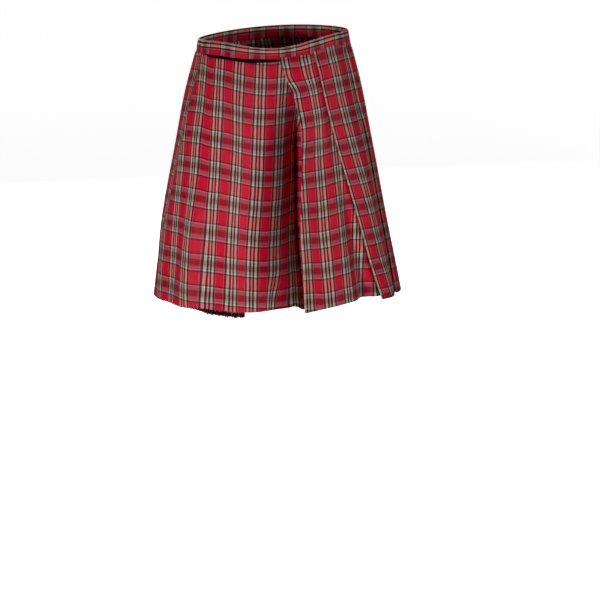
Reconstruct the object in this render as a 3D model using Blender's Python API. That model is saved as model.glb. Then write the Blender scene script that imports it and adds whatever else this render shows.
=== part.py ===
"""A wrap-over kilt, worn: the hollow form it takes at the waist of a standing wearer.

Metres, +Z up. The wearer faces -Y, so the wearer's left is +X. The origin is the
middle of the waist opening, at half the height of the waistband.

The cloth is one long wrap. Seen from above it starts with the under apron inside
the front, runs clockwise round the wearer's right side, the back and the left side
in ten knife pleats, and ends with the over apron, which lies on top across the front.
Every panel is a thin closed wall. A plan section of the wrap is a list of stations,
each with an arc (metres round the ring from the front centre, positive towards +X)
and a lift (metres out from the ring).
"""
import math
from collections import namedtuple

import bmesh
import bpy
import numpy as np

# ---- driving dimensions ----
BAND_HEIGHT = 0.0280
BAND_WALL = 0.0024
CLOTH_WALL = 0.0012
TAPE_WALL = 0.0010
SEAM = 0.0003              # gap kept between pieces that are sewn together
PLY = 0.0020               # from one layer of a pleat to the next, middle to middle
HEM_HEIGHT = -0.546        # the level hem, below the origin
SKIRT_LENGTH = -HEM_HEIGHT - BAND_HEIGHT / 2
WAIST_ROLL = 0.063         # rise of the waist per metre towards the wearer's left
WAIST_DIP = 0.0195         # how far the front of the waist dips below its sides
WAIST_DIP_CENTRE = 0.05    # leftness at which it is lowest
WAIST_DIP_REACH = 0.92     # and how far to each side it reaches
WAIST_BACK_RISE = 0.008    # and how far the back stands above them
HEM_RISE = 0.016           # the hem stands higher over the wearer's left hip
HEM_RISES = (0.05, 0.70)   # leftness at which it starts and ends
BAND_FLARE = 0.0045        # the band's top edge stands in from its lower edge

# ---- the body of the skirt: one ellipse for each drop from waist (0) to hem (1) ----
Section = namedtuple("Section", "drop half_width half_depth set_left set_back")
SECTIONS = (
    Section(0.00, 0.1595, 0.118, -0.0010, 0.000),
    Section(0.13, 0.1780, 0.136, -0.0015, 0.004),
    Section(0.40, 0.2055, 0.155, -0.0015, 0.010),
    Section(0.70, 0.2350, 0.175, -0.0010, 0.015),
    Section(1.00, 0.2600, 0.195, 0.0040, 0.018),
)

# ---- edges that run down the front: arc from the front centre at each drop ----
# pleat_1 to pleat_3 are the folds on the wearer's left, pleat_10 is the first fold of the
# wrap, behind the wearer's right hip; apron_end is the over apron's free edge.
Edge = namedtuple("Edge", "drop apron_end pleat_1 pleat_2 pleat_3 pleat_10")
EDGES = (
    Edge(0.00, -0.172, 0.014, 0.088, 0.172, -0.245),
    Edge(0.08, -0.180, 0.030, 0.100, 0.188, -0.268),
    Edge(0.20, -0.201, 0.052, 0.115, 0.207, -0.300),
    Edge(0.40, -0.234, 0.057, 0.144, 0.246, -0.335),
    Edge(0.65, -0.276, 0.055, 0.186, 0.274, -0.380),
    Edge(0.85, -0.322, 0.057, 0.216, 0.300, -0.420),
    Edge(1.00, -0.358, 0.059, 0.245, 0.318, -0.450),
)
PLEAT_COUNT = 10
UNDER_EDGE_ARC = -0.053    # the under apron's free edge, inside the front

# ---- each fold: depth of its underlap at waist and hem, how far its edge opens at the
# hem, how full its face is, and how far its edge sways sideways at the hem ----
Fold = namedtuple("Fold", "number underlap_waist underlap_hem open_hem belly sway")
FOLDS = (
    Fold(10, 0.040, 0.028, 0.0050, 0.0020, 0.000),
    Fold(9, 0.040, 0.028, 0.0080, 0.0034, 0.004),
    Fold(8, 0.040, 0.028, 0.0060, 0.0026, -0.003),
    Fold(7, 0.040, 0.028, 0.0090, 0.0030, 0.005),
    Fold(6, 0.040, 0.028, 0.0068, 0.0040, -0.004),
    Fold(5, 0.040, 0.028, 0.0082, 0.0028, 0.003),
    Fold(4, 0.040, 0.028, 0.0062, 0.0036, -0.002),
    Fold(3, 0.040, 0.028, 0.0022, 0.0030, 0.000),
    Fold(2, 0.044, 0.030, 0.0060, 0.0065, 0.000),
    Fold(1, 0.050, 0.048, 0.0065, 0.0050, 0.000),
)
OPENING_GROWS = 1.2        # power of the drop by which the edges open towards the hem
OPENING_STARTS = 1.6       # power of the way across the face by which it follows its edge
OPENING_ROUND = 0.3        # share of the opening that rounds the fold
BELLY_GROWS = (0.05, 0.80)       # drops
FACE_LEAST = 0.012         # arc that a face needs at least to rise over the layers under it
FACE_MARGIN = 0.002        # arc at each end of that rise where the face lies flat
FOLD_BACK_SHARES = (0.35, 0.70)  # stations of the layer that is turned back
FOLD_BACK_CLOSES = 1.3     # how fast that layer comes back to its neighbours
SEAM_ALLOWANCE = 0.004     # flat end of a panel, at the seam inside a fold
SEAM_STEP = 0.85 * PLY     # its lift where it starts

# ---- soft flutes of the aprons: ridges (+) and troughs (-) that deepen to the hem ----
Flute = namedtuple("Flute", "arc_waist arc_hem half_width height_hem starts")
APRON_FLUTES = (
    Flute(-0.060, -0.075, 0.060, 0.0080, 0.10),
    Flute(-0.090, -0.150, 0.050, -0.0035, 0.35),
    Flute(-0.120, -0.205, 0.040, 0.0040, 0.25),
    Flute(-0.150, -0.262, 0.040, -0.0060, 0.45),
)
SIDE_FLUTES = (
    Flute(0.070, 0.120, 0.050, 0.0060, 0.20),
    Flute(0.100, 0.205, 0.042, -0.0210, 0.40),
)
FLUTE_WAIST_SHARE = 0.55   # a flute's width at the waist, as a share of that at the hem
FLUTE_FULL_DROP = 1.15     # it is still growing at the hem
SIDE_FLUTES_FADE = (0.020, 0.030)   # arc beside pleats 2 and 1 over which they fade

# ---- the valley between the legs: the over apron sinks towards pleat 1's edge ----
VALLEY_DEPTH = 0.098
VALLEY_REACH_WAIST = 0.108
VALLEY_REACH_HEM = 0.134
VALLEY_BEHIND = 0.018      # its bottom lies this far behind pleat 1's edge
VALLEY_DEEPENS = (0.05, 0.42)    # drops at which it starts and is at its deepest
VALLEY_EASES = (1.25, 0.72)      # it is shallower again at the hem
VALLEY_STEEPENS = 1.55
VALLEY_RETURN = 0.002      # arc before the seam behind pleat 1 at which it has come back
EDGE_RISE = 0.020          # pleat 1's edge hangs forward, and its layers with it
EDGE_RISE_REACH = 0.050
EDGE_RISE_STEEPENS = 1.5
EDGE_RISE_GROWS = (0.10, 0.45)   # drops
EDGE_RISE_EASES = (1.30, 0.80)   # it is less again at the hem

# ---- the lie of the layers in the front, from the ring ----
OVER_LIFT = 0.0020
UNDER_LIFT = -0.0016
BAND_OVER_LIFT = 0.0030
BAND_UNDER_LIFT = -0.0018
BAND_BACK_LIFT = 0.0020
TAPE_LIFT = 0.0002
TAPE_INNER_LIFT = -0.0014
BAND_STEP = 0.060          # arc over which the band comes out from under its other end
BAND_STEP_ARCS = (0.010, 0.100)      # and where it steps out to lie over it, in the front
TAPE_STEP_ARCS = (-0.018, -0.046)    # the tape comes out of the over apron's way
OVER_COVER_REACH = 0.034   # arc beside pleat 1 over which the over apron goes under it
EDGE_KICK = 0.003          # the over apron's free edge stands out a little at the hem
EDGE_KICK_REACH = 0.050

# ---- the gap between waistband and over apron, which the black tape bridges ----
GAP_DROP = 0.0068          # of the over apron's top edge, at the wearer's right
GAP_FADES = (0.020, -0.080)
GAP_ARC_LEFT = -0.163
GAP_ARC_RIGHT = 0.030
GAP_TAPER = 0.030
BAND_RAISE = 0.0055        # the band's lower edge is drawn up over the gap's other end
BAND_RAISE_ARC = -0.005
BAND_RAISE_REACH = 0.085
TAPE_HEIGHT = 0.026
TAPE_TOP = 0.008           # above the band's lower edge

UNDER_STEP_WAIST = 0.008   # arc over which the under apron steps out at the apron's edge
UNDER_STEP_GROWS = 0.050

# ---- hems, each with the arc over which it changes ----
UNDER_HEM_EXTRA = 0.0105   # the under apron hangs lower towards its free edge
UNDER_HEM_REACHES = (0.147, 0.072)
PLEAT_1_DIP = 0.002        # the lower corners of pleats 1 and 2 hang lower
PLEAT_1_DIP_REACH = 0.090
PLEAT_2_DIP = 0.006
PLEAT_2_DIP_REACHES = (0.190, 0.090)
OVER_HEM_LIFT = 0.0042     # the over apron's hem is drawn up in the valley
OVER_HEM_REACHES = (0.100, 0.045)
OVER_HEM_SLANT = 0.018     # and slants down to pleat 1's corner
OVER_SLANT_REACHES = (0.018, -0.021)

# ---- how finely the walls are divided ----
ROWS = (0.0, 0.045, 0.11, 0.19, 0.29, 0.41, 0.55, 0.70, 0.85, 1.0)
FOLD_ANGLES = (90, 45, 0, -45, -90)
INNER_ANGLES = (90, 30, -30, -90)
FACE_POINTS = 8
PLEAT_10_FACE_POINTS = 10
PLEAT_1_FACE_POINTS = 15
HIDDEN_POINTS = 2
OVER_POINTS = 40
SEAM_ZONE = 0.012          # arc beside the seam behind pleat 1 that has stations of its own
SEAM_ZONE_POINTS = 3
UNDER_POINTS = 21
BAND_POINTS = 84
TAPE_POINTS = 20


def smoothstep(value, start, end):
    """0 at start, 1 at end, soft at both; start may be above end."""
    t = np.clip((np.asarray(value, float) - start) / (end - start), 0.0, 1.0)
    return t * t * (3 - 2 * t)


def bell(value):
    """1 at 0, and 0 from -1 and 1 outwards."""
    return np.cos(np.clip(value, -1, 1) * math.pi / 2) ** 2


def column(table, name, drop):
    """One column of a table of drops, read along a smooth curve."""
    drops = np.array([row.drop for row in table])
    values = np.array([getattr(row, name) for row in table])
    slopes = np.gradient(values, drops)
    drop = np.asarray(drop, float)
    i = np.clip(np.searchsorted(drops, drop) - 1, 0, len(drops) - 2)
    step = drops[i + 1] - drops[i]
    t = (drop - drops[i]) / step
    inside = (
        (2 * t**3 - 3 * t**2 + 1) * values[i]
        + (t**3 - 2 * t**2 + t) * step * slopes[i]
        + (3 * t**2 - 2 * t**3) * values[i + 1]
        + (t**3 - t**2) * step * slopes[i + 1]
    )
    beyond = values[-1] + slopes[-1] * (drop - drops[-1])
    return np.where(drop > drops[-1], beyond, inside)


# ---- the ring: evenly spaced arcs of every section, worked out once ----
RING_DROPS = np.linspace(0.0, 1.05, 64)
RING_SHARES = np.linspace(-0.5, 0.5, 481)


def ring_tables():
    """Perimeters, and at even shares of each: x, y, outward normal, and how far to the
    wearer's left and to the front the place is, from -1 to 1."""
    perimeters, tables = [], []
    angle = np.linspace(-math.pi, math.pi, 721)
    for drop in RING_DROPS:
        wide = column(SECTIONS, "half_width", drop)
        deep = column(SECTIONS, "half_depth", drop)
        left = column(SECTIONS, "set_left", drop)
        back = column(SECTIONS, "set_back", drop)
        x, y = wide * np.sin(angle), -deep * np.cos(angle)
        run = np.concatenate([[0], np.cumsum(np.hypot(np.diff(x), np.diff(y)))])
        share = run / run[-1] - 0.5
        at = np.interp(RING_SHARES, share, angle)
        normal = np.stack([np.sin(at) / wide, -np.cos(at) / deep])
        normal /= np.linalg.norm(normal, axis=0)
        perimeters.append(run[-1])
        x, y = left + wide * np.sin(at), back - deep * np.cos(at)
        tables.append(np.stack([x, y, *normal, np.sin(at), np.cos(at)]))
    return np.array(perimeters), np.array(tables)


RING_PERIMETERS, RING_POINTS = ring_tables()


def perimeter(drop):
    return np.interp(drop, RING_DROPS, RING_PERIMETERS)


def waist_edge(x, leftness, frontness):
    """Height of the waistband's lower edge."""
    front = WAIST_DIP * bell((leftness - WAIST_DIP_CENTRE) / WAIST_DIP_REACH)
    dip = np.where(frontness > 0, front, -WAIST_BACK_RISE * frontness**2)
    return WAIST_ROLL * x - dip - BAND_HEIGHT / 2


def hem_edge(leftness):
    """Height of the hem."""
    return HEM_HEIGHT + HEM_RISE * smoothstep(leftness, *HEM_RISES)


def place(arc, lift, drop, raised=0.0):
    """World points of stations, given as arrays of arc, lift and drop."""
    arc, lift, drop = np.broadcast_arrays(*(np.asarray(v, float) for v in (arc, lift, drop)))
    share = (arc / perimeter(drop) + 0.5) % 1.0
    row = np.interp(drop, RING_DROPS, np.arange(len(RING_DROPS)))
    col = share * (len(RING_SHARES) - 1)
    r0, c0 = row.astype(int), col.astype(int)
    r1 = np.minimum(r0 + 1, len(RING_DROPS) - 1)
    c1 = np.minimum(c0 + 1, len(RING_SHARES) - 1)
    fr, fc = row - r0, col - c0
    x, y, nx, ny, leftness, frontness = (
        RING_POINTS[r0, k, c0] * (1 - fr) * (1 - fc) + RING_POINTS[r1, k, c0] * fr * (1 - fc)
        + RING_POINTS[r0, k, c1] * (1 - fr) * fc + RING_POINTS[r1, k, c1] * fr * fc
        for k in range(6)
    )
    x, y = x + nx * lift, y + ny * lift
    top = waist_edge(x, leftness, frontness)
    z = top + (hem_edge(leftness) - top) * drop + raised
    return np.stack([x, y, z], axis=-1)


# ---- the folds ----
def fold_arc(number, drop):
    """Arc of a pleat's outer edge. Pleats 4 to 9 are spaced evenly round the back."""
    if number <= 3:
        return column(EDGES, f"pleat_{number}", drop)
    first = column(EDGES, "pleat_3", drop)
    last = column(EDGES, "pleat_10", drop) + perimeter(drop)
    even = first + (last - first) * (number - 3) / (PLEAT_COUNT - 3)
    return even + fold_row(number).sway * drop**2


def fold_row(number):
    return next(row for row in FOLDS if row.number == number)


def underlap(number, drop):
    row = fold_row(number)
    return row.underlap_waist + (row.underlap_hem - row.underlap_waist) * drop


def edge_lift(number, drop):
    """Lift of the top layer at a pleat's edge."""
    return 2 * PLY + fold_row(number).open_hem * drop**OPENING_GROWS


def fold_radius(number, drop):
    """Half the opening between a pleat's top and middle layers at its edge."""
    return PLY / 2 + OPENING_ROUND * fold_row(number).open_hem * drop


def flutes(table, arc, drop):
    """Lift that the soft ridges and troughs add."""
    total = np.zeros(np.broadcast(arc, drop).shape)
    for flute in table:
        centre = flute.arc_waist + (flute.arc_hem - flute.arc_waist) * drop
        reach = flute.half_width * (FLUTE_WAIST_SHARE + (1 - FLUTE_WAIST_SHARE) * drop)
        grown = smoothstep(drop, flute.starts, FLUTE_FULL_DROP)
        total = total + flute.height_hem * grown * bell((arc - centre) / reach)
    return total


def edge_rise(arc, drop):
    """How far pleat 1's face comes forward towards its edge, with all that lies under it."""
    near = np.clip((fold_arc(1, drop) + EDGE_RISE_REACH - arc) / EDGE_RISE_REACH, 0, 1)
    grown = smoothstep(drop, *EDGE_RISE_GROWS) * smoothstep(drop, *EDGE_RISE_EASES)
    return EDGE_RISE * grown * near**EDGE_RISE_STEEPENS


def valley(arc, drop):
    """The over apron sinks up to pleat 1's edge, and comes back to its layers behind it."""
    edge = fold_arc(1, drop)
    deepened = smoothstep(drop, *VALLEY_DEEPENS)
    bottom = edge + VALLEY_BEHIND * deepened
    reach = VALLEY_REACH_WAIST + (VALLEY_REACH_HEM - VALLEY_REACH_WAIST) * drop
    sink = np.clip((arc - bottom + reach) / reach, 0, 1) ** VALLEY_STEEPENS
    back = smoothstep(arc, edge + underlap(1, drop) - VALLEY_RETURN, bottom)
    below = VALLEY_DEPTH * deepened * smoothstep(drop, *VALLEY_EASES) + edge_rise(edge, drop)
    return sink * (edge_rise(arc, drop) - below * back)


def face_lift(arc, start, number, drop):
    """Lift of a pleat's face, from where it leaves the pleat before to its own edge."""
    edge = fold_arc(number, drop)
    covers = edge + underlap(number, drop)
    risen = np.minimum(covers + FACE_MARGIN, start - FACE_LEAST)
    rise = smoothstep(arc, start - FACE_MARGIN, risen)
    along = np.clip((start - arc) / (start - edge), 0, 1)
    opening = (edge_lift(number, drop) - 2 * PLY) * along**OPENING_STARTS
    belly = fold_row(number).belly * np.sin(math.pi * along) * smoothstep(drop, *BELLY_GROWS)
    return 2 * PLY * rise + opening + belly


def pleat_stations(number, start, drop, face_points, hidden_from=None, extra=None):
    """Stations of one pleat: its face, the outer fold and the layer turned back.

    start is the arc at which the face leaves the cover of the pleat before, hidden_from
    where it begins under that pleat, and extra a function that adds to the face's lift.
    """
    edge = fold_arc(number, drop)
    radius = fold_radius(number, drop)
    top = edge_lift(number, drop)
    deep = underlap(number, drop)
    face = np.linspace(start, edge + radius, face_points + 1)[:-1]
    if hidden_from is not None:
        face = np.concatenate([np.linspace(hidden_from, start, HIDDEN_POINTS + 1)[:-1], face])
    lift = face_lift(face, start, number, drop)
    if extra is not None:
        lift = lift + extra(face, drop)
    stations = list(zip(face, lift))
    for degrees in FOLD_ANGLES:
        a = math.radians(degrees)
        stations.append((edge + radius * (1 - math.cos(a)), top - radius + radius * math.sin(a)))
    middle = top - 2 * radius
    for share in FOLD_BACK_SHARES:
        stations.append((edge + deep * share, PLY + (middle - PLY) * (1 - share) ** FOLD_BACK_CLOSES))
    return stations


def inner_fold(number, drop):
    """Stations of the turn that carries the cloth on to the next face."""
    end = fold_arc(number, drop) + underlap(number, drop)
    radius = PLY / 2
    return [
        (end - radius * (1 - math.cos(math.radians(a))), radius + radius * math.sin(math.radians(a)))
        for a in INNER_ANGLES
    ]


def seam(number, drop):
    """Arc of the seam inside a fold, where one panel ends and the next begins."""
    return fold_arc(number, drop) + underlap(number, drop)


def seam_end(number, drop):
    """The last stations of a panel, whose edge lies over that of the next one."""
    end = seam(number, drop)
    return [(end - SEAM_ALLOWANCE, SEAM_STEP), (end, CLOTH_WALL + SEAM)]


# ---- the panels, each a function of the drop that gives its stations ----
def pleated_panel(numbers, after):
    """A panel with several pleats, sewn on inside the fold numbered after."""
    def stations(drop):
        out, previous = [], after
        for number in numbers:
            cover = fold_arc(previous, drop)
            begin = seam(previous, drop) - (0 if previous == after else PLY / 2)
            out += pleat_stations(number, cover, drop, FACE_POINTS, begin - FACE_MARGIN)
            out += inner_fold(number, drop) if number != numbers[-1] else seam_end(number, drop)
            previous = number
        return out
    return stations


def apron_pleat(drop):
    """The wide face in front of the wearer's left hip, with pleat 1 at its front edge."""
    edge, start = fold_arc(1, drop), fold_arc(2, drop)
    def soft(arc, drop):
        fade_2, fade_1 = SIDE_FLUTES_FADE
        fade = smoothstep(arc, start, start - fade_2) * smoothstep(arc, edge, edge + fade_1)
        return flutes(SIDE_FLUTES, arc, drop) * fade
    flat = pleat_stations(1, start, drop, PLEAT_1_FACE_POINTS, seam(2, drop), soft) + seam_end(1, drop)
    return [(arc, lift + edge_rise(arc, drop)) for arc, lift in flat]


def over_lift(arc, drop):
    """Lift of the over apron, which dives under pleat 1."""
    edge = fold_arc(1, drop)
    cover = smoothstep(arc, edge, edge - OVER_COVER_REACH)
    end = column(EDGES, "apron_end", drop)
    kick = EDGE_KICK * drop * smoothstep(arc, end + EDGE_KICK_REACH, end)
    return OVER_LIFT * cover + flutes(APRON_FLUTES, arc, drop) + valley(arc, drop) + kick


def over_apron(drop):
    begin, end = seam(1, drop), column(EDGES, "apron_end", drop)
    beside_seam = np.linspace(begin, begin - SEAM_ZONE, SEAM_ZONE_POINTS + 1)[:-1]
    arcs = np.concatenate([beside_seam, np.linspace(begin - SEAM_ZONE, end, OVER_POINTS)])
    return list(zip(arcs, over_lift(arcs, drop)))


def under_apron(drop):
    """From the free edge inside the front to the wrap's first fold, pleat 10."""
    round_once = perimeter(drop)
    end = column(EDGES, "apron_end", drop)
    inside = np.linspace(UNDER_EDGE_ARC, end, UNDER_POINTS + 1)[:-1]
    follow = smoothstep(inside, end, end + UNDER_STEP_WAIST + UNDER_STEP_GROWS * drop)
    lift = UNDER_LIFT * follow + flutes(APRON_FLUTES, inside, drop) * follow
    rest = pleat_stations(10, end + round_once, drop, PLEAT_10_FACE_POINTS)
    return list(zip(inside + round_once, lift)) + rest + seam_end(10, drop)


# ---- how far each panel's top edge lies below the band and its hem below the level ----
def no_shift(arc):
    return np.zeros_like(arc)


def band_raise(arc):
    """How far the band's lower edge is drawn up, near the front centre."""
    return BAND_RAISE * bell((arc - BAND_RAISE_ARC) / BAND_RAISE_REACH)


def over_top(arc):
    return GAP_DROP * smoothstep(arc, GAP_ARC_LEFT, GAP_ARC_LEFT + GAP_TAPER) * smoothstep(arc, *GAP_FADES)


def pleat_1_top(arc):
    return -band_raise(arc)


def under_hem(arc):
    """Towards the free edge the under apron's hem hangs lower."""
    first = UNDER_EDGE_ARC + perimeter(1.0)
    far, near = UNDER_HEM_REACHES
    return UNDER_HEM_EXTRA * smoothstep(arc, first - far, first - near)


def over_hem(arc):
    """The over apron's hem rises into the valley, slants down to pleat 1's corner and meets
    pleat 1's hem at the seam."""
    edge = fold_arc(1, 1.0)
    joined = smoothstep(arc, edge, seam(1, 1.0) - SEAM_ALLOWANCE)
    far, near = OVER_HEM_REACHES
    lifted = OVER_HEM_LIFT * smoothstep(arc, edge - far, edge - near)
    far, near = OVER_SLANT_REACHES
    slanted = OVER_HEM_SLANT * smoothstep(arc, edge - far, edge - near)
    return (slanted - lifted) * (1 - joined) + pleat_1_hem(arc) * joined


def pleat_1_hem(arc):
    edge = fold_arc(1, 1.0)
    return PLEAT_1_DIP * smoothstep(arc, edge + PLEAT_1_DIP_REACH, edge)


def left_side_hem(arc):
    edge = fold_arc(2, 1.0)
    far, near = PLEAT_2_DIP_REACHES
    return PLEAT_2_DIP * smoothstep(arc, edge + far, edge + near)


# ---- building ----
def wall(name, centres, thickness, material):
    """A closed wall from a grid of points (rows down, stations along), half of its
    thickness to each side. The cloth's right side is on the left of its run."""
    grid = np.asarray(centres, float)
    step = np.diff(grid[:, :, :2], axis=1)
    step /= np.maximum(np.linalg.norm(step, axis=2, keepdims=True), 1e-9)
    before = np.concatenate([step[:, :1], step], axis=1)
    after = np.concatenate([step, step[:, -1:]], axis=1)
    along = before + after
    half_turn = np.clip(np.linalg.norm(along, axis=2, keepdims=True) / 2, 0.8, 1.0)
    along /= np.maximum(np.linalg.norm(along, axis=2, keepdims=True), 1e-9)
    out = np.stack([-along[..., 1], along[..., 0], np.zeros(along.shape[:2])], axis=2)
    out *= thickness / 2 / half_turn
    rows, count = grid.shape[:2]
    mesh = bmesh.new()
    right, wrong = (
        [[mesh.verts.new(point) for point in row] for row in side] for side in (grid + out, grid - out)
    )
    for r in range(rows - 1):
        for c in range(count - 1):
            mesh.faces.new((right[r][c], right[r + 1][c], right[r + 1][c + 1], right[r][c + 1]))
            mesh.faces.new((wrong[r][c], wrong[r][c + 1], wrong[r + 1][c + 1], wrong[r + 1][c]))
    for c in range(count - 1):
        mesh.faces.new((right[0][c], right[0][c + 1], wrong[0][c + 1], wrong[0][c]))
        mesh.faces.new((right[-1][c], wrong[-1][c], wrong[-1][c + 1], right[-1][c + 1]))
    for r in range(rows - 1):
        mesh.faces.new((right[r][0], wrong[r][0], wrong[r + 1][0], right[r + 1][0]))
        mesh.faces.new((right[r][-1], right[r + 1][-1], wrong[r + 1][-1], wrong[r][-1]))
    bmesh.ops.triangulate(mesh, faces=mesh.faces[:])
    if mesh.calc_volume(signed=True) < 0:
        bmesh.ops.reverse_faces(mesh, faces=mesh.faces[:])
    data = bpy.data.meshes.new(name)
    mesh.to_mesh(data)
    mesh.free()
    data.shade_smooth()
    data.set_sharp_from_angle(angle=math.radians(50))
    data.materials.append(material)
    obj = bpy.data.objects.new(name, data)
    bpy.context.scene.collection.objects.link(obj)
    return obj


def panel(name, stations, material, top_shift=no_shift, hem_shift=no_shift):
    """A skirt panel: its stations at every row, from just below the band to the hem."""
    rows = []
    for share in ROWS:
        arc, lift = np.array(stations(share), float).T
        drop = share + ((top_shift(arc) + SEAM) * (1 - share) + hem_shift(arc) * share) / SKIRT_LENGTH
        rows.append(place(arc, lift, drop))
    return wall(name, rows, CLOTH_WALL, material)


def strip(arcs, lifts, heights):
    """Rows of points of a strip round the waist, at heights above the band's lower edge.
    Below that edge it follows the skirt."""
    rows = []
    for height in heights:
        drop = np.maximum(0.0, -height) / SKIRT_LENGTH
        above = np.maximum(0.0, height)
        rows.append(place(arcs, lifts - BAND_FLARE * above / BAND_HEIGHT, drop, above))
    return rows


def waistband(material):
    """A strip that goes once round and overlaps itself across the front."""
    round_once = perimeter(0.0)
    end = EDGES[0].apron_end
    arcs = np.linspace(UNDER_EDGE_ARC + round_once, end, BAND_POINTS)
    lifts = np.interp(
        arcs,
        [end, *BAND_STEP_ARCS, end + round_once - BAND_STEP, end + round_once],
        [BAND_OVER_LIFT, BAND_OVER_LIFT, BAND_BACK_LIFT, BAND_BACK_LIFT, BAND_UNDER_LIFT],
    )
    kernel = np.array([1, 2, 3, 2, 1]) / 9
    lifts = np.convolve(np.pad(lifts, 2, mode="edge"), kernel, mode="valid")
    low = band_raise(arcs)
    heights = (BAND_HEIGHT, (BAND_HEIGHT + low) / 2, low)
    return wall("waistband", strip(arcs, lifts, heights), BAND_WALL, material)


def fastening_tape(material):
    """The black strip inside the front that joins band and over apron."""
    arcs = np.linspace(GAP_ARC_RIGHT, GAP_ARC_LEFT, TAPE_POINTS)
    lifts = TAPE_INNER_LIFT + (TAPE_LIFT - TAPE_INNER_LIFT) * smoothstep(arcs, *TAPE_STEP_ARCS)
    heights = (TAPE_TOP, 0.0, (TAPE_TOP - TAPE_HEIGHT) / 2, TAPE_TOP - TAPE_HEIGHT)
    return wall("fastening_tape", strip(arcs, lifts, heights), TAPE_WALL, material)


def material(name, colour, roughness):
    made = bpy.data.materials.new(name)
    made.use_nodes = True
    shader = made.node_tree.nodes["Principled BSDF"]
    shader.inputs["Base Color"].default_value = (*colour, 1)
    shader.inputs["Roughness"].default_value = roughness
    shader.inputs["Metallic"].default_value = 0.0
    return made


def main():
    for old in list(bpy.data.objects):
        bpy.data.objects.remove(old)
    tartan = material("red_tartan_twill", (0.45, 0.03, 0.04), 0.45)
    tape = material("black_tape", (0.02, 0.01, 0.01), 0.8)
    waistband(tartan)
    fastening_tape(tape)
    panel("under_apron", under_apron, tartan, hem_shift=under_hem)
    panel("right_side_pleats", pleated_panel((9, 8), after=10), tartan)
    panel("back_pleats", pleated_panel((7, 6, 5), after=8), tartan)
    panel("left_side_pleats", pleated_panel((4, 3, 2), after=5), tartan, hem_shift=left_side_hem)
    panel("apron_pleat", apron_pleat, tartan, pleat_1_top, pleat_1_hem)
    panel("over_apron", over_apron, tartan, over_top, over_hem)


main()
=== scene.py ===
import math
from collections import namedtuple

import bpy
import numpy as np
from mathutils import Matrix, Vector


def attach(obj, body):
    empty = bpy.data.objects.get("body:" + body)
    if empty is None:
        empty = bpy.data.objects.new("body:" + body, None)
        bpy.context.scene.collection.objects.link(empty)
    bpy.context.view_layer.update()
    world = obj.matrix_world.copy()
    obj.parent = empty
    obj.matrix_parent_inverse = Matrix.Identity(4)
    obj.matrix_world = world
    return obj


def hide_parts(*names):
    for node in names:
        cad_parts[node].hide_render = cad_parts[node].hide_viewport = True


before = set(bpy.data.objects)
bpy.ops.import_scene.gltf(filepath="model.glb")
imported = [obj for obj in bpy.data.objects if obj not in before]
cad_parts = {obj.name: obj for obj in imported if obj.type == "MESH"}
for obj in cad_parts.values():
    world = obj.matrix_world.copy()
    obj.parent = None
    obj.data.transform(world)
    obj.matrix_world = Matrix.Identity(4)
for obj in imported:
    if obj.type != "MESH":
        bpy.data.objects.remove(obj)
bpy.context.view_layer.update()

# ---- the garment's form, in the numbers of the part's own source ----
# An arc is metres round the waist from the front centre, positive to the wearer's left.
# A drop is the share of the way from the waist down to the hem, and a lift is metres out.
BAND_HEIGHT = 0.0280
BAND_WALL = 0.0024
CLOTH_WALL = 0.0009  # one layer of the cloth; the part's wall is a little thicker
TAPE_WALL = 0.0010
SEAM = 0.0003
PLY = 0.0020
HEM_HEIGHT = -0.546
SKIRT_LENGTH = -HEM_HEIGHT - BAND_HEIGHT / 2
WAIST_ROLL = 0.063
WAIST_DIP = 0.0195
WAIST_DIP_CENTRE = 0.05
WAIST_DIP_REACH = 0.92
WAIST_BACK_RISE = 0.008
HEM_RISE = 0.016
HEM_RISES = (0.05, 0.70)
BAND_FLARE = 0.0045

Section = namedtuple("Section", "drop half_width half_depth set_left set_back")
SECTIONS = (
    Section(0.00, 0.1595, 0.118, -0.0010, 0.000),
    Section(0.13, 0.1780, 0.136, -0.0015, 0.004),
    Section(0.40, 0.2055, 0.155, -0.0015, 0.010),
    Section(0.70, 0.2350, 0.175, -0.0010, 0.015),
    Section(1.00, 0.2600, 0.195, 0.0040, 0.018),
)
Edge = namedtuple("Edge", "drop apron_end pleat_1 pleat_2 pleat_3 pleat_10")
EDGES = (
    Edge(0.00, -0.172, 0.014, 0.088, 0.172, -0.245),
    Edge(0.08, -0.180, 0.030, 0.100, 0.188, -0.268),
    Edge(0.20, -0.201, 0.052, 0.115, 0.207, -0.300),
    Edge(0.40, -0.234, 0.057, 0.144, 0.246, -0.335),
    Edge(0.65, -0.276, 0.055, 0.186, 0.274, -0.380),
    Edge(0.85, -0.322, 0.057, 0.216, 0.300, -0.420),
    Edge(1.00, -0.358, 0.059, 0.245, 0.318, -0.450),
)
PLEAT_COUNT = 10
UNDER_EDGE_ARC = -0.053
Fold = namedtuple("Fold", "number underlap_waist underlap_hem open_hem belly sway")
FOLDS = (
    Fold(10, 0.040, 0.028, 0.0050, 0.0020, 0.000),
    Fold(9, 0.040, 0.028, 0.0080, 0.0034, 0.004),
    Fold(8, 0.040, 0.028, 0.0060, 0.0026, -0.003),
    Fold(7, 0.040, 0.028, 0.0090, 0.0030, 0.005),
    Fold(6, 0.040, 0.028, 0.0068, 0.0040, -0.004),
    Fold(5, 0.040, 0.028, 0.0082, 0.0028, 0.003),
    Fold(4, 0.040, 0.028, 0.0062, 0.0036, -0.002),
    Fold(3, 0.040, 0.028, 0.0022, 0.0030, 0.000),
    Fold(2, 0.044, 0.030, 0.0060, 0.0065, 0.000),
    Fold(1, 0.050, 0.048, 0.0065, 0.0050, 0.000),
)
OPENING_GROWS = 1.2
OPENING_STARTS = 1.6
OPENING_ROUND = 0.3
BELLY_GROWS = (0.05, 0.80)
FACE_LEAST = 0.012
FACE_MARGIN = 0.002
FOLD_BACK_CLOSES = 1.3
SEAM_ALLOWANCE = 0.004
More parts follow.
